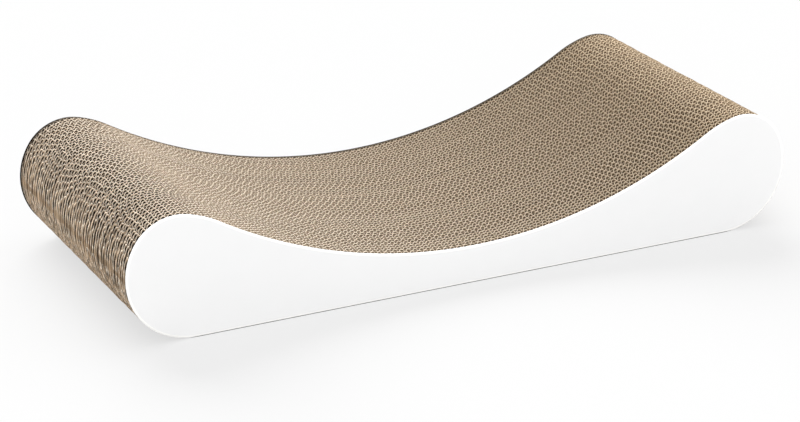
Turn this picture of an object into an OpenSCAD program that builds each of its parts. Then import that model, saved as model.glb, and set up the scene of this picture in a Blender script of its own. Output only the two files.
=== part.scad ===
// Cardboard scratcher lounge: die-cut corrugated boards stood on edge and glued face to face,
// closed by a plain white panel at the front and at the back.
// Every piece has the same long outline: two rounded bolsters with a hollow between them.
// X runs along the length, Y from the front panel to the back one, Z up.
// The origin is the middle of the flat underside. Lengths are in millimetres, angles in degrees.

/* [Body] */
// Overall length, from end to end
body_len = 690; // [560:5:800]
// Height of the two crests
body_h = 120; // [110:1:150]
// Thickness left under the middle of the hollow
valley_h = 37; // [25:1:60]
// Height of the widest point of each rounded end
belly_h = 64; // [50:1:70]

/* [Rounded ends] */
// Radius where each end turns under to the flat underside
foot_r = 82; // [30:1:120]
// Radius of the crest
crest_r = 47; // [25:1:55]
// Radius that eases the crest into the hollow
shoulder_r = 106; // [60:1:160]
// Angle that the foot arc turns through
foot_turn = 14; // [8:1:30]
// Angle of each end above its widest point
end_rise = 32; // [20:1:40]
// Slope at which the crest hands over to the shoulder
crest_slope = 12.5; // [0:0.5:20]

/* [Boards] */
// Thickness of one corrugated board
board_t = 5.3; // [3:0.1:8]
// Number of corrugated boards between the two panels
board_count = 54; // [20:1:58]
// Thickness of each white outer panel
panel_t = 1.9; // [1:0.1:4]

/* [Flute mouths] */
// Number of open mouths along a board's upper edge, each standing for about four real flutes
mouth_count = 23; // [8:1:28]
// Depth that they are cut to
mouth_depth = 2.5; // [1:0.1:4]
// Length of the bridge between two of them
mouth_bridge = 4; // [2:0.5:10]
// Length that the board keeps beyond the last one at each end
mouth_margin = 3; // [2:0.5:10]
// Thickness of the liner in front of them and behind them
liner_t = 0.6; // [0.3:0.1:1]

/* [Hidden] */
// Greatest angle between two neighbouring points of a round end
end_step = 5;
// Greatest angle between two neighbouring points of the hollow
hollow_step = 2.5;

// Whole thickness of the glued boards and of the assembly
stack_w = board_count * board_t;
body_w = stack_w + 2 * panel_t;

// Below its widest point an end is one arc, eased into the underside by the foot arc.
lower_r = (belly_h - foot_r * (1 - cos(foot_turn))) / cos(foot_turn);
lower_c = [body_len / 2 - lower_r, belly_h];
foot_c = lower_c + (lower_r - foot_r) * [sin(foot_turn), -cos(foot_turn)];

// Above its widest point an end is one arc, eased into the top by the crest arc.
upper_r = (body_h - belly_h - crest_r * (1 - sin(end_rise))) / sin(end_rise);
upper_c = [body_len / 2 - upper_r, belly_h];
crest_c = upper_c + (upper_r - crest_r) * [cos(end_rise), sin(end_rise)];

// The shoulder arc carries the crest over to the hollow.
shoulder_c = crest_c + (shoulder_r - crest_r) * [sin(crest_slope), -cos(crest_slope)];

// The hollow is one arc that touches both shoulders and leaves valley_h under its lowest point.
hollow_r = (pow(shoulder_c.x, 2) + pow(valley_h - shoulder_c.y, 2) - pow(shoulder_r, 2))
    / (2 * (shoulder_r + shoulder_c.y - valley_h));
hollow_slope = atan2(shoulder_c.x, valley_h + hollow_r - shoulder_c.y);

// Spacing of the mouths along the length, and how far each reaches from its middle
mouth_pitch = (body_len - 2 * mouth_margin + mouth_bridge) / mouth_count;
mouth_reach = (mouth_pitch - mouth_bridge) / 2;

// Points along an arc, its last point left out because the next arc starts there.
function arc(centre, radius, from, to, step) =
    let (steps = ceil(abs(to - from) / step))
    [for (i = [0 : steps - 1])
        let (angle = from + (to - from) * i / steps)
        centre + radius * [cos(angle), sin(angle)]];

function mirrored(points) = [for (i = [len(points) - 1 : -1 : 0]) [-points[i].x, points[i].y]];

// The right half below its widest point, anticlockwise from the flat underside.
lower_points = concat(
    arc(foot_c, foot_r, -90, foot_turn - 90, end_step),
    arc(lower_c, lower_r, foot_turn - 90, 0, end_step)
);

// The right half above its widest point, anticlockwise to the middle of the hollow.
// The crest arc is split at its top, so that a point lies at the full height.
upper_points = concat(
    arc(upper_c, upper_r, 0, end_rise, end_step),
    arc(crest_c, crest_r, end_rise, 90, end_step),
    arc(crest_c, crest_r, 90, 90 + crest_slope, end_step),
    arc(shoulder_c, shoulder_r, 90 + crest_slope, 90 + hollow_slope, end_step),
    arc([0, valley_h + hollow_r], hollow_r, hollow_slope - 90, -90, hollow_step)
);

half_points = concat(lower_points, upper_points);
middle_points = [[0, valley_h]];
outline_points = concat(half_points, middle_points, mirrored(half_points));

// Height of the upper edge at a distance from the middle.
top_points = concat(upper_points, middle_points);
function top_at(distance) = lookup(distance, top_points);

// Two digits for every board's number, so that the names sort in order.
function board_name(number) = str("board_", number < 10 ? "0" : "", number);

// One die-cut sheet that stands on edge, its front face at the given Y.
module cut_sheet(front_y, thickness)
    translate([0, front_y + thickness, 0])
        rotate([90, 0, 0])
            linear_extrude(height = thickness)
                polygon(outline_points);

// Open mouths in the upper edge of the board whose front face is at the given Y.
// Their walls are upright, as the flutes are, and their floors follow the edge.
// A staggered row has one mouth less and lies half a pitch along.
module flute_mouths(front_y, staggered)
    translate([0, front_y + board_t - liner_t, 0])
        rotate([90, 0, 0])
            linear_extrude(height = board_t - 2 * liner_t)
                let (count = mouth_count - (staggered ? 1 : 0))
                    for (i = [0 : count - 1])
                        let (middle = (i - (count - 1) / 2) * mouth_pitch)
                            mouth_outline(middle - mouth_reach, middle + mouth_reach);

// One mouth seen from the front, open at the top.
module mouth_outline(left, right)
    polygon([
        [left, top_at(abs(left)) - mouth_depth],
        [right, top_at(abs(right)) - mouth_depth],
        [right, body_h + mouth_depth],
        [left, body_h + mouth_depth]
    ]);

// White outer panel that faces the viewer.
module front_panel()
    color([0.97, 0.97, 0.97])
        cut_sheet(-body_w / 2, panel_t);

// One corrugated board. Its flutes run upright, so their open ends form the scratching surface.
module board(number)
    let (front_y = -stack_w / 2 + (number - 1) * board_t)
        color([0.69, 0.62, 0.54])
            difference() {
                cut_sheet(front_y, board_t);
                flute_mouths(front_y, number % 2 == 0);
            }

// White outer panel at the back.
module back_panel()
    color([0.97, 0.97, 0.97])
        cut_sheet(stack_w / 2, panel_t);

front_panel();
for (i = [1 : board_count])
    board(i);
back_panel();
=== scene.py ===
"""Looks of a cardboard scratcher lounge: corrugated boards glued on edge between two white panels.

Lengths are in metres and angles in radians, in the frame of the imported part: X along the length,
Y from the front panel to the back one, Z up, the origin in the middle of the flat underside.
"""

import logging
import math
import random
from bisect import bisect_right
from dataclasses import dataclass, field
from enum import Enum
from functools import cached_property
from typing import Callable, Iterable, Sequence

import bmesh
import bpy
from mathutils import Matrix, Vector, noise


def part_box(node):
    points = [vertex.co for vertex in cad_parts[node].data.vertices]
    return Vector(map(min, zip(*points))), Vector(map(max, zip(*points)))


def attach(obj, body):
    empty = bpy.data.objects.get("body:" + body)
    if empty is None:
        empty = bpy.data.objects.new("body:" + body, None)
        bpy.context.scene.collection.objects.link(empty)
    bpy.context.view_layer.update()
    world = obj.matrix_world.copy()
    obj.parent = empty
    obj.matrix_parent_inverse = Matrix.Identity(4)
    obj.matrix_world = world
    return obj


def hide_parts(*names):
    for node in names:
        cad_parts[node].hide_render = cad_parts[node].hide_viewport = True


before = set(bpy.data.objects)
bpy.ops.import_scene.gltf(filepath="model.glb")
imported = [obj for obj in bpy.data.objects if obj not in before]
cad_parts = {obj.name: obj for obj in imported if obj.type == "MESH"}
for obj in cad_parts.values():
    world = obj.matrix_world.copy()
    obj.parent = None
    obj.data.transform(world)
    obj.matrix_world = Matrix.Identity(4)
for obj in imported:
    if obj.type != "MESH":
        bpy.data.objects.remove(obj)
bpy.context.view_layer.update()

BODY = "root"
MM = 0.001
PHOTO_WIDTH = 800
SHARP_ANGLE = math.radians(50)
PLAIN_SCALE = (1, 1, 1)

logging.basicConfig(level=logging.INFO, format="%(levelname)s %(message)s")
log = logging.getLogger("scratcher")


def srgb(red: int, green: int, blue: int) -> tuple[float, float, float, float]:
    """Turn a colour as it looks on a screen into the linear one that a shader takes.

    Args:
        red: Red from 0 to 255.
        green: Green from 0 to 255.
        blue: Blue from 0 to 255.

    Returns:
        The linear colour with an alpha of 1.
    """
    def linear(byte: int) -> float:
        """Undo the screen's curve for one channel."""
        share = byte / 255
        return share / 12.92 if share <= 0.04045 else ((share + 0.055) / 1.055) ** 2.4

    return linear(red), linear(green), linear(blue), 1.0


Colour = tuple[float, float, float, float]
Triple = tuple[float, float, float]
WHITE = srgb(255, 255, 255)


class Value:
    """A shader socket that takes part in sums, so that shader maths reads as an expression."""

    def __init__(self, tree: "Shader", socket: bpy.types.NodeSocket) -> None:
        """Wrap a socket.

        Args:
            tree: The shader that holds the socket's node.
            socket: The output that carries the value.
        """
        self.tree = tree
        self.socket = socket

    def maths(self, operation: str, *values: "Value | float") -> "Value":
        """Add a Math node that works on these values.

        Args:
            operation: The Math node's operation.
            values: Its inputs in order.

        Returns:
            The node's result.
        """
        sockets = dict(enumerate(values))
        return self.tree.add("ShaderNodeMath", {"operation": operation}, sockets)

    def unsigned(self) -> "Value":
        """The size of this without its sign."""
        return self.maths("ABSOLUTE", self)

    def clamped(self) -> "Value":
        """This held between 0 and 1."""
        return self.maths("MINIMUM", self.maths("MAXIMUM", self, 0.0), 1.0)

    def __add__(self, other: "Value | float") -> "Value":
        """Add."""
        return self.maths("ADD", self, other)

    def __sub__(self, other: "Value | float") -> "Value":
        """Subtract other from this."""
        return self.maths("SUBTRACT", self, other)

    def __rsub__(self, other: "Value | float") -> "Value":
        """Subtract this from other."""
        return self.maths("SUBTRACT", other, self)

    def __mul__(self, other: "Value | float") -> "Value":
        """Multiply."""
        return self.maths("MULTIPLY", self, other)

    def __truediv__(self, other: "Value | float") -> "Value":
        """Divide this by other."""
        return self.maths("DIVIDE", self, other)

    def __pow__(self, other: "Value | float") -> "Value":
        """Raise this to a power."""
        return self.maths("POWER", self, other)


Input = Value | float | Sequence[float]


class Shader:
    """The node tree of a material or of the world."""

    def __init__(self, name: str, world: bool = False) -> None:
        """Make an empty material, or an empty world.

        Args:
            name: Its name.
            world: Whether it is the world.
        """
        self.owner = (bpy.data.worlds if world else bpy.data.materials).new(name)
        self.owner.use_nodes = True
        self.tree = self.owner.node_tree
        self.tree.nodes.clear()

    def add(
        self,
        kind: str,
        settings: dict[str, object] | None = None,
        inputs: dict[str | int, Input] | None = None,
        output: str | int = 0,
    ) -> Value:
        """Add a node of any kind.

        Args:
            kind: The node's type.
            settings: Its properties, which are set first.
            inputs: A value or a link for each socket, by name or place.
            output: The socket that is returned.

        Returns:
            The chosen output.
        """
        node = self.tree.nodes.new(kind)
        for key, setting in (settings or {}).items():
            setattr(node, key, setting)
        for key, value in (inputs or {}).items():
            if isinstance(value, Value):
                self.tree.links.new(value.socket, node.inputs[key])
            else:
                node.inputs[key].default_value = value
        return Value(self, node.outputs[output])

    def mix(self, share: Input, first: Input, second: Input) -> Value:
        """Mix two colours.

        Args:
            share: How much of the second colour shows, from 0 to 1.
            first: The first colour.
            second: The second colour.

        Returns:
            The mixed colour.
        """
        inputs = {0: share, 6: first, 7: second}
        return self.add("ShaderNodeMix", {"data_type": "RGBA"}, inputs, 2)

    def scaled(self, colour: Value, factor: Value) -> Value:
        """Make a colour brighter or darker.

        Args:
            colour: The colour.
            factor: What it is multiplied by.

        Returns:
            The changed colour.
        """
        inputs = {0: colour, "Scale": factor}
        return self.add("ShaderNodeVectorMath", {"operation": "SCALE"}, inputs)

    def coordinates(self, scale: Sequence[float] = PLAIN_SCALE) -> Value:
        """Object coordinates, scaled.

        Args:
            scale: The scale along X, Y and Z.

        Returns:
            The scaled vector.
        """
        place = self.add("ShaderNodeTexCoord", output="Object")
        return self.add("ShaderNodeMapping", inputs={"Vector": place, "Scale": scale})

    def noise(self, scale: float, vector: Value, detail: float = 2.0) -> Value:
        """Noise from 0 to 1.

        Args:
            scale: Cells in each unit of the vector.
            vector: Where the noise is read.
            detail: How many finer layers it has.

        Returns:
            The noise.
        """
        inputs = {"Vector": vector, "Scale": scale, "Detail": detail}
        return self.add("ShaderNodeTexNoise", None, inputs)

    def attribute(self, name: str) -> Value:
        """Read a number that the mesh carries.

        Args:
            name: The attribute's name.

        Returns:
            The number.
        """
        return self.add("ShaderNodeAttribute", {"attribute_name": name}, output="Fac")

    def along(self, axis: str) -> Value:
        """The object coordinate along an axis.

        Args:
            axis: X, Y or Z.

        Returns:
            The coordinate.
        """
        place = self.add("ShaderNodeTexCoord", output="Object")
        return self.add("ShaderNodeSeparateXYZ", None, {0: place}, axis)

    def looked_at(self) -> Value:
        """1 on a ray from the camera, straight or by way of metal or glass, and 0 on others."""
        kinds = ("Is Camera Ray", "Is Glossy Ray", "Is Transmission Ray")
        camera, glossy, clear = (self.add("ShaderNodeLightPath", output=kind) for kind in kinds)
        return camera + glossy + clear

    def bump(self, height: Value, distance: float, strength: float) -> Value:
        """Turn a height into a normal.

        Args:
            height: The height from 0 to 1.
            distance: How tall a height of 1 is.
            strength: How much of it shows.

        Returns:
            The normal.
        """
        inputs = {"Height": height, "Distance": distance, "Strength": strength}
        return self.add("ShaderNodeBump", None, inputs)

    def finish(self, inputs: dict[str, Input]) -> bpy.types.Material:
        """Close the material with a Principled shader.

        Args:
            inputs: A value or a link for each of the shader's sockets.

        Returns:
            The material.
        """
        return self.close(self.add("ShaderNodeBsdfPrincipled", None, inputs))

    def close(self, surface: Value) -> bpy.types.Material | bpy.types.World:
        """Lead a surface to the output.

        Args:
            surface: The surface.

        Returns:
            The material or the world.
        """
        kind = "World" if isinstance(self.owner, bpy.types.World) else "Material"
        end = self.tree.nodes.new(f"ShaderNodeOutput{kind}")
        self.tree.links.new(surface.socket, end.inputs["Surface"])
        return self.owner


@dataclass(frozen=True)
class LengthToneAndPaintedLight:
    """How the paper's colours change from the left end to the right one, with a painted highlight
    on the right crest and the painted shade of the back panel on the last board.
    """

    reach: float = 500 * MM
    # crest, crest_power and crest_light shape the painted highlight on the right crest.
    crest: float = 120 * MM
    crest_power: float = 8.0
    crest_light: float = 0.3
    # Painted shade: the last board is darkened where the back panel shades it.
    shade_start: float = 139.6 * MM
    shade_blend: float = 1.6 * MM

    def browning(self, shader: Shader) -> Value:
        """How far the paper's colours move to their browner right-end values, from 0 at the left
        end to 1 at the right one.
        """
        return (shader.along("X") / self.reach + 0.5).clamped()

    def painted_crest_highlight(self, shader: Shader) -> Value:
        """How much lighter the brown right end is painted on its crest, as a painted highlight."""
        rise = (shader.along("Z") / self.crest) ** self.crest_power
        return self.browning(shader) * rise * self.crest_light

    def shading(self, shader: Shader) -> Value:
        """How far the last board lies in the shade of the back panel, from 0 to 1."""
        return ((shader.along("Y") - self.shade_start) / self.shade_blend).clamped()


@dataclass(frozen=True)
class KraftSheet:
    """The faces of the liners and of the fluted sheet: brown paper, with painted shade that
    darkens it inside the flutes.
    """

    fresh: Colour = srgb(194, 168, 139)
    browned: Colour = srgb(176, 154, 126)
    # Painted shade: deep and deep_browned are the colours that the paper is darkened to inside the
    # flutes.
    deep: Colour = srgb(24, 17, 11)
    deep_browned: Colour = srgb(90, 71, 53)
    tone_and_painted_light: LengthToneAndPaintedLight = LengthToneAndPaintedLight()
    # shade_depth and shade_depth_browned set how far below the cut the painted shade reaches.
    shade_depth: float = 1.4 * MM
    shade_depth_browned: float = 2.1 * MM
    shade_loss_at_ends: float = 0.25
    shade_ragged: float = 0.16
    light: float = 0.88
    # Painted light: end_light makes the paper lighter round the ends.
    end_light: float = 0.14
    # Painted shade of the back panel on the last board.
    far_shade: float = 0.5
    fibre_scale: float = 1400.0
    fibre_stretch: Triple = (1, 1, 0.35)
    fibre_height: float = 0.05 * MM
    fibre_light: float = 0.14
    blotch_scale: float = 60.0
    blotch_light: float = 0.10
    streak_scale: float = 520.0
    streak_stretch: Triple = (1, 1, 0.08)
    streak_light: tuple[float, float] = (0.5, 1.6)
    tint_light: tuple[float, float] = (0.05, 0.08)
    roughness: float = 0.86

    def build(self) -> bpy.types.Material:
        """Make the material.

        Returns:
            The material.
        """
        shader = Shader("kraft_sheet")
        browning = self.tone_and_painted_light.browning(shader)
        steep = shader.attribute("steepness")
        tint = shader.attribute("board_tint")
        fibres = shader.noise(self.fibre_scale, shader.coordinates(self.fibre_stretch), 3.0)
        blotches = shader.noise(self.blotch_scale, shader.coordinates())
        streaks = shader.noise(self.streak_scale, shader.coordinates(self.streak_stretch))

        # Painted shade: the paper darkens with its depth below the cut, less far round the ends.
        reach = browning * (self.shade_depth_browned - self.shade_depth) + self.shade_depth
        depth = shader.attribute("cut_depth") / (reach * (1 - steep * self.shade_loss_at_ends))
        painted_shade_share = shader.add(
            "ShaderNodeMapRange",
            {"interpolation_type": "SMOOTHSTEP"},
            {"Value": depth + (fibres - 0.5) * self.shade_ragged},
        )
        lit = shader.mix(browning, self.fresh, self.browned)
        unlit = shader.mix(browning, self.deep, self.deep_browned)
        paper = shader.mix(painted_shade_share, lit, unlit)

        light = fibres * self.fibre_light + blotches * self.blotch_light + self.light
        light += (streaks - 0.5) * (steep * self.streak_light[1] + self.streak_light[0])
        light += tint * (steep * self.tint_light[1] + self.tint_light[0])
        # Painted light: the paper is made lighter round the ends, and lighter still on the right
        # crest as a painted highlight.
        light += steep * self.end_light + self.tone_and_painted_light.painted_crest_highlight(shader)
        # Painted shade of the back panel on the last board.
        light -= self.tone_and_painted_light.shading(shader) * self.far_shade
        return shader.finish({
            "Base Color": shader.scaled(paper, light),
            "Roughness": fibres * 0.1 + self.roughness,
            "Normal": shader.bump(fibres, self.fibre_height, 0.5),
            "Specular IOR Level": 0.2,
        })


@dataclass(frozen=True)
class CutEdge:
    """The die-cut edges of the paper, where torn fibres stand up pale."""

    pale: Colour = srgb(255, 245, 228)
    brown: Colour = srgb(236, 218, 196)
    browned: Colour = srgb(206, 187, 160)
    tone_and_painted_light: LengthToneAndPaintedLight = LengthToneAndPaintedLight()
    light: float = 0.98
    # Painted light: end_light makes the cut edges lighter round the ends.
    end_light: float = 0.08
    # Painted shade of the back panel on the last board.
    far_shade: float = 0.6
    fibre_scale: float = 2600.0
    fibre_height: float = 0.08 * MM
    patch_scale: float = 200.0
    patch_light_at_ends: float = 3.5
    tint_light: tuple[float, float] = (0.04, 0.10)
    roughness: float = 0.9

    def build(self) -> bpy.types.Material:
        """Make the material.

        Returns:
            The material.
        """
        shader = Shader("cut_edge")
        steep = shader.attribute("steepness")
        tint = shader.attribute("board_tint")
        place = shader.coordinates()
        fibres = shader.noise(self.fibre_scale, place)
        patches = shader.noise(self.patch_scale, place)
        share = (fibres + patches) * 0.5
        fresh = shader.mix(share, self.pale, self.brown)
        paper = shader.mix(self.tone_and_painted_light.browning(shader), fresh, self.browned)

        light = tint * (steep * self.tint_light[1] + self.tint_light[0]) + self.light
        # Random patches round the ends, and painted light that makes the edges lighter there.
        light += steep * ((patches - 0.5) * self.patch_light_at_ends + self.end_light)
        # Painted highlight on the right crest.
        light += self.tone_and_painted_light.painted_crest_highlight(shader)
        # Painted shade of the back panel on the last board.
        light -= self.tone_and_painted_light.shading(shader) * self.far_shade
        return shader.finish({
            "Base Color": shader.scaled(paper, light),
            "Roughness": share * 0.08 + self.roughness,
            "Normal": shader.bump(fibres, self.fibre_height, 0.6),
            "Specular IOR Level": 0.15,
        })


@dataclass(frozen=True)
class WhiteCoating:
    """The matt white face of an outer panel."""

    white: Colour = srgb(238, 238, 238)
    shade: Colour = srgb(234, 234, 234)
    grain_scale: float = 2200.0
    grain_height: float = 0.02 * MM
    mottle_scale: float = 35.0
    roughness: float = 0.5

    def build(self) -> bpy.types.Material:
        """Make the material.

        Returns:
            The material.
        """
        shader = Shader("white_coating")
        place = shader.coordinates()
        grain = shader.noise(self.grain_scale, place, 3.0)
        mottle = shader.noise(self.mottle_scale, place, 3.0)
        return shader.finish({
            "Base Color": shader.mix(mottle * 0.6 + grain * 0.4, self.white, self.shade),
            "Roughness": mottle * 0.12 + self.roughness,
            "Normal": shader.bump(grain, self.grain_height, 0.35),
            "Specular IOR Level": 0.3,
        })


@dataclass(frozen=True)
class PanelEdge:
    """The rim of an outer panel: bright white, with a painted highlight on the band of each face
    beside the edge, and painted shadow, dark beside the boards and along the floor.

    The back panel's rim is dark nearly all across, because shadow_line_shift moves both seams
    back.
    """

    # white also paints the band of each face beside the edge: a painted highlight.
    white: Colour = srgb(255, 255, 254)
    core: Colour = srgb(246, 244, 240)
    fibre_scale: float = 1800.0
    fibre_height: float = 0.05 * MM
    roughness: float = 0.7
    # Painted contact shadow: the lowest part of the rim is painted grey along the floor.
    foot: Colour = srgb(120, 120, 120)
    contact_shadow_height: float = 0.9 * MM
    contact_shadow_blend: float = 0.25 * MM
    # Painted shadow line: the rim is painted dark where the panel meets the boards.
    seam: Colour = srgb(24, 19, 15)
    shadow_line_start: float = 144.35 * MM
    shadow_line_shift: float = 0.65 * MM
    shadow_line_blend: float = 0.25 * MM

    def build(self) -> bpy.types.Material:
        """Make the material.

        Returns:
            The material.
        """
        shader = Shader("panel_edge")
        fibres = shader.noise(self.fibre_scale, shader.coordinates(), 3.0)
        # Painted shadow line beside the boards.
        across = (shader.along("Y") - self.shadow_line_shift).unsigned()
        inside = ((self.shadow_line_start - across) / self.shadow_line_blend).clamped()
        # Painted contact shadow along the floor.
        low = ((self.contact_shadow_height - shader.along("Z")) / self.contact_shadow_blend).clamped()
        paper = shader.mix(inside, shader.mix(fibres, self.white, self.core), self.seam)
        return shader.finish({
            "Base Color": shader.mix(low, paper, self.foot),
            "Roughness": fibres * 0.2 + self.roughness,
            "Normal": shader.bump(fibres, self.fibre_height, 0.5),
            "Specular IOR Level": 0.0,
        })


@dataclass(frozen=True)
class Arc:
    """One arc of the outline's right half, in the XZ plane."""

    x: float
    z: float
    radius: float

    def height(self, x: float, side: int) -> float:
        """The arc's height.

        Args:
            x: The distance from the middle of the part.
            side: 1 for the arc's upper half and -1 for its lower one.

        Returns:
            The height above the underside.
        """
        reach = self.radius ** 2 - (x - self.x) ** 2
        return self.z + side * math.sqrt(max(reach, 0.0))

    def distance(self, x: float, z: float) -> float:
        """How far a point lies from the arc's circle.

        Args:
            x: The distance from the middle of the part.
            z: The height above the underside.

        Returns:
            The distance.
        """
        return abs(math.hypot(x - self.x, z - self.z) - self.radius)


@dataclass(frozen=True)
class Course:
    """The columns of a fluted sheet, which crowd together where the outline turns down."""

    places: tuple
    step: float

    def travel(self, x: float) -> float:
        """How far along the wave a place lies.

        Args:
            x: The place along the length.

        Returns:
            The distance from the first column, measured along the wave.
        """
        column = min(max(bisect_right(self.places, x), 1), len(self.places) - 1)
        before, after = self.places[column - 1], self.places[column]
        return (column - 1 + (x - before) / (after - before)) * self.step


@dataclass(frozen=True)
class Outline:
    """The outline that every sheet is die-cut to: two bolsters with a hollow between them."""

    length: float
    height: float
    valley: float = 37 * MM
    belly: float = 64 * MM
    foot_radius: float = 82 * MM
    crest_radius: float = 47 * MM
    shoulder_radius: float = 106 * MM
    foot_turn: float = math.radians(14)
    end_rise: float = math.radians(32)
    crest_slope: float = math.radians(12.5)
    end_step: float = math.radians(5)

    @cached_property
    def lower_end(self) -> Arc:
        """The end below its widest point."""
        drop = self.foot_radius * (1 - math.cos(self.foot_turn))
        radius = (self.belly - drop) / math.cos(self.foot_turn)
        return Arc(self.length / 2 - radius, self.belly, radius)

    @cached_property
    def foot(self) -> Arc:
        """The arc that eases an end into the underside."""
        end = self.lower_end
        step = end.radius - self.foot_radius
        turn = self.foot_turn
        return Arc(end.x + step * math.sin(turn), end.z - step * math.cos(turn), self.foot_radius)

    @cached_property
    def upper_end(self) -> Arc:
        """The end above its widest point."""
        rise = math.sin(self.end_rise)
        radius = (self.height - self.belly - self.crest_radius * (1 - rise)) / rise
        return Arc(self.length / 2 - radius, self.belly, radius)

    @cached_property
    def crest(self) -> Arc:
        """The arc at the top of a bolster."""
        end = self.upper_end
        step = end.radius - self.crest_radius
        turn = self.end_rise
        return Arc(end.x + step * math.cos(turn), end.z + step * math.sin(turn), self.crest_radius)

    @cached_property
    def shoulder(self) -> Arc:
        """The arc that carries a crest over to the hollow."""
        crest = self.crest
        step = self.shoulder_radius - crest.radius
        turn = self.crest_slope
        return Arc(crest.x + step * math.sin(turn), crest.z - step * math.cos(turn),
                   self.shoulder_radius)

    @cached_property
    def hollow(self) -> Arc:
        """The arc of the hollow, which touches both shoulders."""
        shoulder = self.shoulder
        rise = shoulder.radius + shoulder.z - self.valley
        across = shoulder.x ** 2 + (self.valley - shoulder.z) ** 2 - shoulder.radius ** 2
        radius = across / (2 * rise)
        return Arc(0.0, self.valley + radius, radius)

    def above(self, x: float) -> tuple[Arc, int]:
        """The arc that makes the upper edge at a place.

        Args:
            x: The distance from the middle of the part.

        Returns:
            The arc, and the half of it that is used.
        """
        hollow, shoulder, crest = self.hollow, self.shoulder, self.crest
        if x <= shoulder.x * hollow.radius / (hollow.radius + shoulder.radius):
            return hollow, -1
        if x <= crest.x - crest.radius * math.sin(self.crest_slope):
            return shoulder, 1
        if x <= crest.x + crest.radius * math.cos(self.end_rise):
            return crest, 1
        return self.upper_end, 1

    def below(self, x: float) -> Arc | None:
        """The arc that makes the lower edge at a place, or None on the flat underside.

        Args:
            x: The distance from the middle of the part.

        Returns:
            The arc.
        """
        foot = self.foot
        if x <= foot.x:
            return None
        return foot if x <= foot.x + foot.radius * math.sin(self.foot_turn) else self.lower_end

    def top(self, x: float) -> float:
        """The height of the upper edge.

        Args:
            x: The place along the length.

        Returns:
            The height above the underside.
        """
        arc, side = self.above(abs(x))
        return arc.height(abs(x), side)

    def bottom(self, x: float) -> float:
        """The height of the lower edge.

        Args:
            x: The place along the length.

        Returns:
            The height above the underside.
        """
        arc = self.below(abs(x))
        return arc.height(abs(x), -1) if arc else 0.0

    def depth(self, x: float, z: float) -> float:
        """How far a point lies inside the outline.

        Args:
            x: The place along the length.
            z: The height above the underside.

        Returns:
            The distance to the nearer of the upper and the lower edge.
        """
        upper, lower = self.above(abs(x))[0], self.below(abs(x))
        return min(upper.distance(abs(x), z), lower.distance(abs(x), z) if lower else z)

    def steepness(self, x: float) -> float:
        """How far a place has come round an end, from 0 on the crest to 1 at the widest point.

        Args:
            x: The place along the length.

        Returns:
            The share.
        """
        crest = self.crest.x
        return min(max((abs(x) - crest) / (self.length / 2 - crest), 0.0), 1.0)

    def course(self, step: float, tip: float, most: float) -> Course:
        """Lay out the columns of a fluted sheet.

        Args:
            step: The spacing of the columns where the outline is level.
            tip: How far the last column stays from the end.
            most: How many times closer they get round an end.

        Returns:
            The columns.
        """
        limit = self.length / 2 - tip
        right = [0.0]
        while right[-1] < limit:
            arc, _ = self.above(right[-1])
            turned = min(abs(right[-1] - arc.x) / arc.radius, 1.0)
            crowding = min(1 / max(math.sqrt(1 - turned ** 2), 1 / most), most)
            right.append(min(right[-1] + step / crowding, limit))
        return Course(tuple(-x for x in reversed(right[1:])) + tuple(right), step)

    def stations(self, step: float, tip: float) -> list[float]:
        """Places along the length that follow the outline closely, denser at the round ends.

        Args:
            step: The spacing between the round ends.
            tip: How far the last place stays from the end.

        Returns:
            The places from the left end to the right one.
        """
        end_radius = self.lower_end.radius
        count = round(math.radians(90) / self.end_step)
        round_end = [
            end_radius * (1 - math.cos(self.end_step * i)) for i in range(1, count + 1)
        ]
        right = [self.length / 2 - tip] + [self.length / 2 - reach for reach in round_end]
        inner = 2 * right[-1]
        spans = math.ceil(inner / step)
        middle = [right[-1] - inner * i / spans for i in range(1, spans)]
        return sorted(right + middle + [-x for x in right])


@dataclass(frozen=True)
class Flute:
    """The wave of the fluted sheet inside one board."""

    pitch: float
    phase: float
    lean: float
    seed: float
    steepness: float = 1.7
    skew: float = 0.75 * MM
    drift: float = 0.20
    drift_scale: float = 14.0
    drift_rise: float = 0.4
    jitter: float = 0.07
    jitter_scale: float = 150.0
    jitter_seed: float = 7.0

    def height(self, x: float, row: float) -> float:
        """The wave's height.

        Args:
            x: The distance along the wave.
            row: How far up the board it is, from 0 to 1.

        Returns:
            The height from -1 to 1.
        """
        slow = Vector((x * self.drift_scale, self.seed, row * self.drift_rise))
        quick = Vector((x * self.jitter_scale, self.seed, self.jitter_seed))
        drift = self.drift * noise.noise(slow) + self.jitter * noise.noise(quick)
        angle = 2 * math.pi * (x / self.pitch + drift + self.lean * row) + self.phase
        return math.tanh(self.steepness * math.sin(angle)) / math.tanh(self.steepness)

    def slide(self, x: float, row: float) -> float:
        """How far the wave leans along the length, as pressed flutes do.

        Args:
            x: The distance along the wave.
            row: How far up the board it is, from 0 to 1.

        Returns:
            The shift along X.
        """
        return self.skew * self.height(x, row)


def smooth_walls(mesh: bmesh.types.BMesh) -> None:
    """Shade a mesh smooth, with its sharp edges kept.

    Args:
        mesh: The mesh.
    """
    for face in mesh.faces:
        face.smooth = True
    for edge in mesh.edges:
        edge.smooth = len(edge.link_faces) == 2 and edge.calc_face_angle(0.0) < SHARP_ANGLE


def make_piece(
    name: str, mesh: bmesh.types.BMesh, finishes: Iterable[bpy.types.Material],
) -> bpy.types.Object:
    """Turn a bmesh into a piece of the part.

    Args:
        name: The piece's name.
        mesh: Its mesh, which is freed.
        finishes: Its materials in the order of the mesh's material numbers.

    Returns:
        The piece.
    """
    data = bpy.data.meshes.new(name)
    mesh.to_mesh(data)
    mesh.free()
    for finish in finishes:
        data.materials.append(finish)
    piece = bpy.data.objects.new(name, data)
    bpy.context.scene.collection.objects.link(piece)
    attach(piece, BODY)
    return piece


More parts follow.
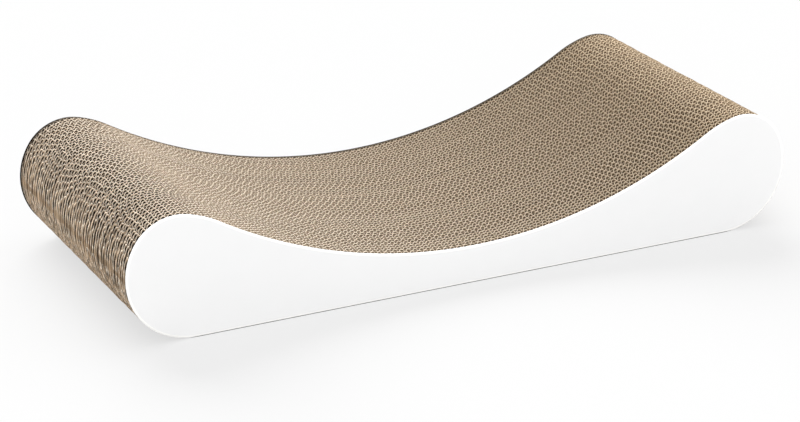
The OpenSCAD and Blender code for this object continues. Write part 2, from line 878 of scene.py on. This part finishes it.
@dataclass
class CorrugatedBoard:
    """One corrugated board on edge: two flat liners with a fluted sheet between them."""

    number: int
    front: float
    back: float
    phase: float
    outline: Outline
    finishes: tuple
    first: bool = False
    last: bool = False
    liner: float = 0.2 * MM
    liner_step: float = 7 * MM
    medium: float = 0.55 * MM
    pitch: float = 7.0 * MM
    pitch_spread: float = 0.005
    lean: float = 0.12
    samples: int = 8
    crowding: float = 1.9
    pressed: float = 0.72
    dented: float = 1.2
    dent_scale: float = 260.0
    slack: float = 0.08
    tip: float = 0.03 * MM
    shaded: float = 6 * MM
    most_shaded: float = 0.4
    uneven_top: float = 0.25 * MM
    uneven_end: float = 0.9 * MM
    sway: float = 0.35 * MM
    sway_scale: float = 22.0
    waver: float = 1.1 * MM
    waver_scale: float = 110.0
    seed_step: float = 3.7
    bands: int = 8

    WALL, EDGE = 0, 1
    ROWS = 3
    SWAY_SEED, WAVER_SEED, DENT_SEED = 0.5, 3.5, 7.5
    MAP_START, MAP_SPAN = 0.04, 0.92
    MAP_EDGE, MAP_EDGE_REACH = 0.06, 0.04
    MAP_WALL, MAP_INNER = (0.14, 0.82), (0.86, 0.97)

    def __post_init__(self) -> None:
        """Draw what differs from board to board."""
        self.limit = self.outline.length / 2 - self.tip
        draw = random.Random(1000 + self.number)
        self.drop = draw.uniform(0.0, self.uneven_top)
        self.short = draw.uniform(0.0, self.uneven_end)
        self.tint = draw.uniform(-1.0, 1.0)
        self.flute = Flute(
            pitch=self.pitch * draw.uniform(1 - self.pitch_spread, 1 + self.pitch_spread),
            phase=self.phase,
            lean=draw.uniform(-self.lean, self.lean),
            seed=10.0 * self.number,
        )

    def seam(self, x: float, back: bool) -> float:
        """Where the joint with the next board runs.

        Args:
            x: The place along the length.
            back: Whether it is the joint behind this board.

        Returns:
            The joint's Y.
        """
        place = self.back if back else self.front
        if self.last if back else self.first:
            return place
        joint = self.seed_step * (self.number + back)
        top = self.outline.top(min(max(x, -self.limit), self.limit))
        level = Vector((x * self.sway_scale, joint, self.SWAY_SEED))
        round_end = Vector((top * self.waver_scale, joint, self.WAVER_SEED))
        waver = self.waver * self.outline.steepness(x)
        return place + self.sway * noise.noise(level) + waver * noise.noise(round_end)

    def sheet(
        self, mesh: bmesh.types.BMesh, places: Sequence[float],
        line: Callable[[float, float], tuple[float, float]], thickness: float,
    ) -> None:
        """Add an upright sheet, its rows numbered in Z until the cut.

        Args:
            mesh: The board's mesh.
            places: The sheet's columns along the length.
            line: The sheet's X and Y at a column and a row.
            thickness: The paper's thickness, which grows along +Y.
        """
        columns = len(places) - 1
        first = len(mesh.faces)
        made = bmesh.ops.create_grid(mesh, x_segments=columns, y_segments=self.ROWS, size=0.5)
        for vert in made["verts"]:
            place = places[round((vert.co.x + 0.5) * columns)]
            row = round((vert.co.y + 0.5) * self.ROWS)
            vert.co = (*line(place, row / self.ROWS), row)
        mesh.faces.ensure_lookup_table()
        faces = mesh.faces[first:]
        mesh.normal_update()
        if sum(face.normal.y * face.calc_area() for face in faces) > 0:
            bmesh.ops.reverse_faces(mesh, faces=faces)
        bmesh.ops.solidify(mesh, geom=faces, thickness=thickness)

    def cut(self, mesh: bmesh.types.BMesh) -> None:
        """Cut the numbered rows to the outline and mark how deep each point lies.

        Args:
            mesh: The board's mesh.
        """
        depth = mesh.verts.layers.float.new("cut_depth")
        tint = mesh.verts.layers.float.new("board_tint")
        steep = mesh.verts.layers.float.new("steepness")
        layout = mesh.loops.layers.uv.new("OFBake")
        for face in mesh.faces:
            rows = [round(vert.co.z) for vert in face.verts]
            edge = len(set(rows)) == 1
            face.material_index = self.EDGE if edge else self.WALL
            middle = face.calc_center_median()
            inner = set(rows) == {1, 2}
            for loop in face.loops:
                loop[layout].uv = self.place_on_map(loop.vert.co, middle, edge, inner)
        for vert in mesh.verts:
            row = round(vert.co.z)
            x = min(max(vert.co.x, -self.limit), self.limit)
            top, bottom = self.outline.top(x) - self.drop, self.outline.bottom(x)
            near = min(self.shaded, self.most_shaded * (top - bottom))
            vert.co.z = (bottom, bottom + near, top - near, top)[row]
            vert.co.x = x * (1 - self.short / (self.outline.length / 2))
            vert[steep] = self.outline.steepness(x)
            vert[depth] = 0.0 if row in (0, self.ROWS) else self.outline.depth(x, vert.co.z)
            vert[tint] = self.tint

    def place_on_map(
        self, place: Vector, middle: Vector, edge: bool, inner: bool,
    ) -> tuple[float, float]:
        """Where a corner lies on the map that all sheets of the board share.

        Args:
            place: The corner, with its row's number in Z.
            middle: The middle of its face.
            edge: Whether the face is a cut edge.
            inner: Whether the face lies below the shaded depth.

        Returns:
            The corner's U and V.
        """
        span = self.outline.length / self.bands
        start = middle.x + self.outline.length / 2
        band = min(max(int(start / span), 0), self.bands - 1)
        along = (place.x + self.outline.length / 2 - band * span) / span
        row = round(place.z)
        if edge:
            across = min(max((place.y - middle.y) / self.medium, -1.0), 1.0)
            up = self.MAP_EDGE + self.MAP_EDGE_REACH * across
        elif inner:
            up = self.MAP_INNER[row != 1]
        else:
            up = self.MAP_WALL[row not in (0, self.ROWS)]
        return self.MAP_START + self.MAP_SPAN * along, (band + up) / self.bands

    def build(self, node: str) -> bpy.types.Object:
        """Make the board.

        Args:
            node: The solid that it stands for.

        Returns:
            The board.
        """
        mesh = bmesh.new()
        straight = self.outline.stations(self.liner_step, self.tip)
        course = self.outline.course(self.pitch / self.samples, self.tip, self.crowding)

        def front_liner(x: float, row: float) -> tuple[float, float]:
            """The front liner's outer face."""
            return x, self.seam(x, False)

        def back_liner(x: float, row: float) -> tuple[float, float]:
            """The back liner's inner face."""
            return x, self.seam(x, True) - self.liner

        def fluting(x: float, row: float) -> tuple[float, float]:
            """The fluted sheet's front face."""
            low = self.seam(x, False) + self.liner
            high = self.seam(x, True) - self.liner - self.medium
            middle, reach = (low + high) / 2, (high - low) / 2
            travel = course.travel(x)
            steep = min(max(2.0 * self.outline.steepness(x) - 1.0, 0.0), 1.0)
            height = self.flute.height(travel, row)
            slide = (1 - steep) * self.flute.slide(travel, row)
            dents = Vector((self.outline.top(x) * self.dent_scale,
                            self.seed_step * self.number, self.DENT_SEED))
            height += steep * (self.pressed * (1 - height) + self.dented * noise.noise(dents))
            height = min(max(height, -1.0), 1.0 - self.slack * steep)
            return x + slide, middle + reach * height

        self.sheet(mesh, straight, front_liner, self.liner)
        self.sheet(mesh, course.places, fluting, self.medium)
        self.sheet(mesh, straight, back_liner, self.liner)
        self.cut(mesh)
        smooth_walls(mesh)
        piece = make_piece(f"corrugated_{self.number:02d}", mesh, self.finishes)
        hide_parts(node)
        return piece


class Side(Enum):
    """The side that a panel closes."""

    FRONT = "front_panel"
    BACK = "back_panel"


@dataclass
class OuterPanel:
    """A white panel with its edge slightly rounded by the die and a bright rim along it, a painted
    highlight on a band of each large face.
    """

    side: Side
    outline: Outline
    finishes: tuple
    edge_round: float = 0.3 * MM
    edge_segments: int = 2
    painted_rim_width: float = 1.8 * MM
    spacing: float = 5 * MM
    tip: float = 0.03 * MM

    FACE, EDGE = 0, 1

    @staticmethod
    def is_side(face: bmesh.types.BMFace) -> bool:
        """Whether a face is one of the two large ones, which alone have many corners."""
        return len(face.verts) > 4

    def build(self) -> bpy.types.Object:
        """Make the panel.

        Returns:
            The panel.
        """
        low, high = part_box(self.side.value)
        places = self.outline.stations(self.spacing, self.tip)
        rim = [(x, self.outline.bottom(x)) for x in places]
        rim += [(x, self.outline.top(x)) for x in reversed(places)]
        mesh = bmesh.new()
        bmesh.ops.create_circle(mesh, cap_ends=True, segments=len(rim), radius=1.0)
        for vert, (x, z) in zip(sorted(mesh.verts, key=lambda vert: vert.index), rim):
            vert.co = (x, low[1], z)
        front = list(mesh.faces)
        grown = bmesh.ops.extrude_face_region(mesh, geom=front, use_keep_orig=True)
        moved = [item for item in grown["geom"] if isinstance(item, bmesh.types.BMVert)]
        bmesh.ops.translate(mesh, verts=moved, vec=(0, high[1] - low[1], 0))
        bmesh.ops.recalc_face_normals(mesh, faces=mesh.faces)
        edges = [edge for edge in mesh.edges
                 if {self.is_side(face) for face in edge.link_faces} == {True, False}]
        bmesh.ops.bevel(mesh, geom=edges, offset=self.edge_round, offset_type="OFFSET",
                        segments=self.edge_segments, profile=0.5, affect="EDGES", material=-1)
        sides = [face for face in mesh.faces if self.is_side(face)]
        # The inset leaves a band round each large face that takes the rim finish: a painted
        # highlight.
        bmesh.ops.inset_region(mesh, faces=sides, thickness=self.painted_rim_width, use_even_offset=True)
        for face in mesh.faces:
            face.material_index = self.FACE if self.is_side(face) else self.EDGE
        smooth_walls(mesh)
        piece = make_piece(f"white_{self.side.value}", mesh, self.finishes)
        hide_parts(self.side.value)
        return piece


@dataclass(frozen=True)
class PhotoCamera:
    """The photograph's camera, solved from the outline of the part."""

    aim: Triple = (-76.64 * MM, -145 * MM, 85.46 * MM)
    distance: float = 2392.1 * MM
    azimuth: float = math.radians(-26.171)
    elevation: float = math.radians(21.489)
    roll: float = math.radians(-0.188)
    focal_pixels: float = 2608.9
    sensor_width: float = 36.0
    near: float = 0.05
    far: float = 100.0

    def build(self) -> bpy.types.Object:
        """Make the camera.

        Returns:
            The camera.
        """
        level = math.cos(self.elevation)
        back = Vector((math.sin(self.azimuth) * level, -math.cos(self.azimuth) * level,
                       math.sin(self.elevation)))
        right = Vector((0, 0, 1)).cross(back).normalized()
        turn = Matrix((right, back.cross(right), back)).transposed()
        turn = turn @ Matrix.Rotation(self.roll, 3, "Z")
        data = bpy.data.cameras.new("photo_camera")
        data.sensor_width = self.sensor_width
        data.lens = self.focal_pixels / PHOTO_WIDTH * self.sensor_width
        data.clip_start, data.clip_end = self.near, self.far
        camera = bpy.data.objects.new("photo_camera", data)
        place = Matrix.Translation(Vector(self.aim) + back * self.distance)
        camera.matrix_world = place @ turn.to_4x4()
        bpy.context.scene.collection.objects.link(camera)
        bpy.context.scene.camera = camera
        return camera


@dataclass(frozen=True)
class Lamp:
    """A soft lamp so far off that it lights the whole set evenly."""

    name: str
    strength: float
    direction: Triple
    spread: float = math.radians(50)

    def build(self, lit: Iterable[bpy.types.Object] = ()) -> None:
        """Hang the lamp.

        Args:
            lit: The only objects that it lights, or none for all of them.
        """
        data = bpy.data.lights.new(self.name, "SUN")
        data.energy = self.strength
        data.angle = self.spread
        lamp = bpy.data.objects.new(self.name, data)
        lamp.rotation_euler = Vector(self.direction).to_track_quat("Z", "Y").to_euler()
        bpy.context.scene.collection.objects.link(lamp)
        if lit:
            group = bpy.data.collections.new(f"lit_by_{self.name}")
            for item in lit:
                group.objects.link(item)
            lamp.light_linking.receiver_collection = group


@dataclass(frozen=True)
class Studio:
    """A white packshot set: one pale floor, an even sky and soft lamps.

    The boards, the panels and the floor each have a key lamp of their own.
    """

    floor_size: float = 12.0
    floor_paper: Colour = srgb(207, 207, 207)
    floor_bounce: Colour = srgb(165, 165, 165)
    floor_glow: float = 0.665
    sky_light: float = 0.78
    board_key: Lamp = Lamp("key", 3.1, (0.68, 0.34, 0.65))
    floor_key: Lamp = Lamp("floor_key", 3.9, (0.08, 0.81, 0.58))
    panel_key: Lamp = Lamp("panel_key", 2.6, (-0.10, -0.35, 0.93))
    fill: Lamp = Lamp("fill", 0.7, (-0.35, -0.85, 0.40))

    def floor(self) -> bpy.types.Object:
        """Make the floor, which shows as white paper with the part's shadow on it.

        Returns:
            The floor.
        """
        mesh = bmesh.new()
        bmesh.ops.create_grid(mesh, x_segments=1, y_segments=1, size=self.floor_size / 2)
        data = bpy.data.meshes.new("floor")
        mesh.to_mesh(data)
        mesh.free()
        shader = Shader("floor_paper")
        looked_at = shader.looked_at()
        paper = shader.mix(looked_at, self.floor_bounce, self.floor_paper)
        lit = shader.add("ShaderNodeBsdfDiffuse", None, {"Color": paper})
        glow = shader.add("ShaderNodeEmission", None, {"Color": WHITE, "Strength": 1.0})
        seen = {0: looked_at * self.floor_glow, 1: lit, 2: glow}
        data.materials.append(shader.close(shader.add("ShaderNodeMixShader", None, seen)))
        floor = bpy.data.objects.new("floor", data)
        bpy.context.scene.collection.objects.link(floor)
        return floor

    def sky(self) -> None:
        """Light the set evenly and show white behind it."""
        shader = Shader("studio_sky", world=True)
        light, shown = (
            shader.add("ShaderNodeBackground", None, {"Color": WHITE, "Strength": strength})
            for strength in (self.sky_light, 1.0)
        )
        seen = {0: shader.looked_at(), 1: light, 2: shown}
        bpy.context.scene.world = shader.close(shader.add("ShaderNodeMixShader", None, seen))

    def build(self, boards: list[bpy.types.Object], panels: list[bpy.types.Object]) -> None:
        """Set up the floor, the sky and the lamps.

        Args:
            boards: The boards.
            panels: The panels.
        """
        floor = self.floor()
        self.sky()
        self.board_key.build(boards)
        self.floor_key.build([floor])
        self.panel_key.build(panels)
        self.fill.build()
        bpy.context.scene.view_settings.view_transform = "Standard"


@dataclass
class Lounge:
    """The whole scratcher: the glued boards and the two panels that close them."""

    outline: Outline = field(init=False)
    seed: int = 7
    phase_spread: float = 0.5

    def __post_init__(self) -> None:
        """Take the outline's overall size from the frame."""
        low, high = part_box("front_panel")
        self.outline = Outline(length=high[0] - low[0], height=high[2] - low[2])

    def boards(self) -> list[bpy.types.Object]:
        """Make every corrugated board.

        Returns:
            The boards from front to back.
        """
        finishes = (KraftSheet().build(), CutEdge().build())
        nodes = sorted(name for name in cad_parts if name.startswith("board_"))
        made, draw, phase = [], random.Random(self.seed), 0.0
        for number, node in enumerate(nodes, start=1):
            low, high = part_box(node)
            phase += draw.choice((0.0, math.pi)) + draw.gauss(0.0, self.phase_spread)
            board = CorrugatedBoard(number, low[1], high[1], phase, self.outline, finishes,
                                    first=number == 1, last=number == len(nodes))
            made.append(board.build(node))
        log.info("%d corrugated boards", len(made))
        return made

    def panels(self) -> list[bpy.types.Object]:
        """Make both outer panels.

        Returns:
            The front panel and the back one.
        """
        finishes = (WhiteCoating().build(), PanelEdge().build())
        made = [OuterPanel(side, self.outline, finishes).build() for side in Side]
        log.info("%d outer panels", len(made))
        return made


def main() -> None:
    """Build the part, the camera and the studio."""
    lounge = Lounge()
    boards, panels = lounge.boards(), lounge.panels()
    for piece in boards + panels:
        log.info("piece %s: %d faces", piece.name, len(piece.data.polygons))
    PhotoCamera().build()
    Studio().build(boards, panels)


if __name__ == "__main__":
    main()
